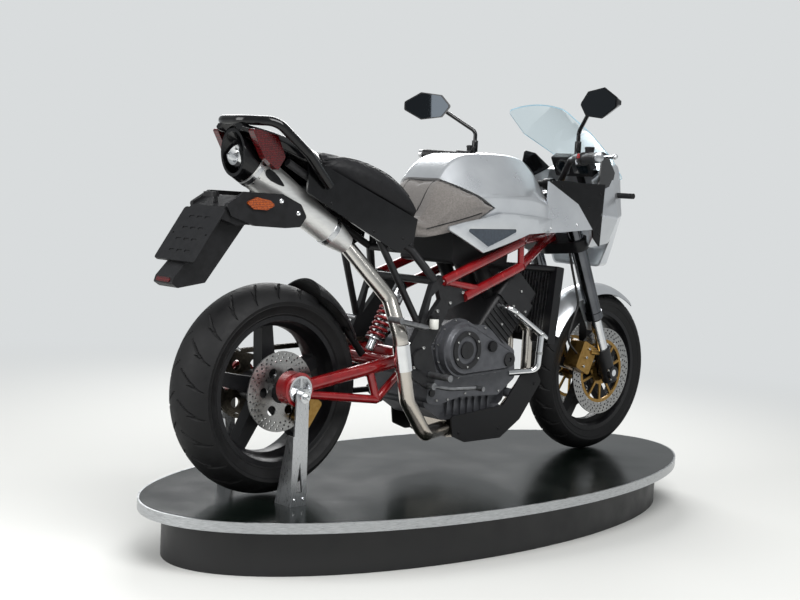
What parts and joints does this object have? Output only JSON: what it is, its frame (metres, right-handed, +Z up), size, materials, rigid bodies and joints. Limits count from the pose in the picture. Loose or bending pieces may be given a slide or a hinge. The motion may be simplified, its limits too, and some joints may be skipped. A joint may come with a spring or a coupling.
{
  "type": "motorcycle",
  "caption": "Half-faired road motorcycle with tubular trellis frame, high silencer and cast wheels, held by its rear axle on a display stand and oval plinth.",
  "frame": {"origin": "on the floor under the middle of the oval plinth, midway between the wheel axles", "axes": "+X forward, +Y to the rider's left, +Z up"},
  "size_m": [2.2639, 1.0699, 1.4598],
  "materials": {
    "deck_black": "gloss",
    "rim_aluminium": "brushed",
    "base_black": "satin",
    "stand_aluminium": "brushed",
    "tyre": "matt",
    "wheel_black": "satin",
    "disc_steel": "ground",
    "carrier_gold": "anodised",
    "axle_chrome": "polished",
    "frame_red": "gloss",
    "adjuster_silver": "machined",
    "chain_steel": "oiled",
    "fork_dark_chrome": "polished",
    "fork_silver": "anodised",
    "cast_black": "satin",
    "bar_black": "satin",
    "grip_rubber": "matt",
    "lever_silver": "polished",
    "plastic_black": "grained",
    "mirror_glass": "polished",
    "body_silver": "metallic gloss",
    "caliper_gold": "anodised",
    "engine_grey": "satin",
    "stainless": "brushed",
    "gloss_black": "gloss",
    "pipe_chrome": "polished",
    "seat_suede": "napped",
    "seat_black": "grained",
    "lamp_red": "clear gloss",
    "lamp_amber": "clear gloss",
    "lamp_clear": "clear",
    "screen_clear": "clear"
  },
  "bodies": {
    "chassis": {"plinth_base": "base_black", "plinth_deck": "deck_black", "plinth_rim": "rim_aluminium", "stand_posts": "stand_aluminium", "rear_axle": "axle_chrome", "swingarm": "frame_red", "chain_adjusters": "adjuster_silver", "drive_chain": "chain_steel", "rear_frame": "cast_black", "frame_trellis": "frame_red", "crankcase": "engine_grey", "cylinder_block": "engine_grey", "engine_covers": "engine_grey", "exhaust_pipes": "stainless", "silencer": "stainless", "silencer_cap": "gloss_black", "radiator": "cast_black", "coolant_pipes": "pipe_chrome", "airbox": "plastic_black", "fuel_tank": "body_silver", "rider_seat": "seat_suede", "tank_wings": "body_silver", "pillion_seat": "seat_black", "tail_panels": "gloss_black", "grab_rails": "gloss_black", "tail_lamps": "lamp_red", "plate_holder": "plastic_black", "number_plate": "plastic_black", "rear_indicators": "lamp_amber", "hugger": "plastic_black", "rear_shock": "frame_red", "rear_caliper": "caliper_gold", "foot_rests": "adjuster_silver", "nose_fairing": "body_silver", "headlamp": "lamp_clear", "fairing_sides": "gloss_black", "windscreen": "screen_clear", "instruments": "plastic_black"},
    "steering": {"fork_sliders": "fork_silver", "fork_outers": "fork_dark_chrome", "yokes": "cast_black", "handlebar": "bar_black", "grips": "grip_rubber", "bar_controls": "plastic_black", "levers": "lever_silver", "mirrors": "plastic_black", "mirror_glass": "mirror_glass", "front_mudguard": "body_silver", "front_calipers": "caliper_gold", "brake_hoses": "grip_rubber", "front_axle": "axle_chrome"},
    "front_wheel": {"front_tyre": "tyre", "front_rim": "wheel_black", "front_discs": "disc_steel", "disc_carriers": "carrier_gold"},
    "rear_wheel": {"rear_tyre": "tyre", "rear_rim": "wheel_black", "rear_disc": "disc_steel", "rear_sprocket": "chain_steel"},
    "side_stand": {"side_stand": "cast_black"}
  },
  "joints": [
    {"name": "steering", "type": "hinge", "parent": "chassis", "child": "steering", "pos_m": [0.72531, 0, 0.45762], "axis": [-0.4226, 0, 0.9063], "range_deg": [-30, 30]},
    {"name": "front_wheel_spin", "type": "hinge", "parent": "steering", "child": "front_wheel", "pos_m": [0.7525, 0, 0.4703], "axis": [0, 1, 0], "continuous": true},
    {"name": "rear_wheel_spin", "type": "hinge", "parent": "chassis", "child": "rear_wheel", "pos_m": [-0.7525, 0, 0.491], "axis": [0, 1, 0], "continuous": true},
    {"name": "side_stand_swing", "type": "hinge", "parent": "chassis", "child": "side_stand", "pos_m": [-0.1745, 0.166, 0.428], "axis": [0, -0.89, -0.456], "range_deg": [0, 98]}
  ]
}
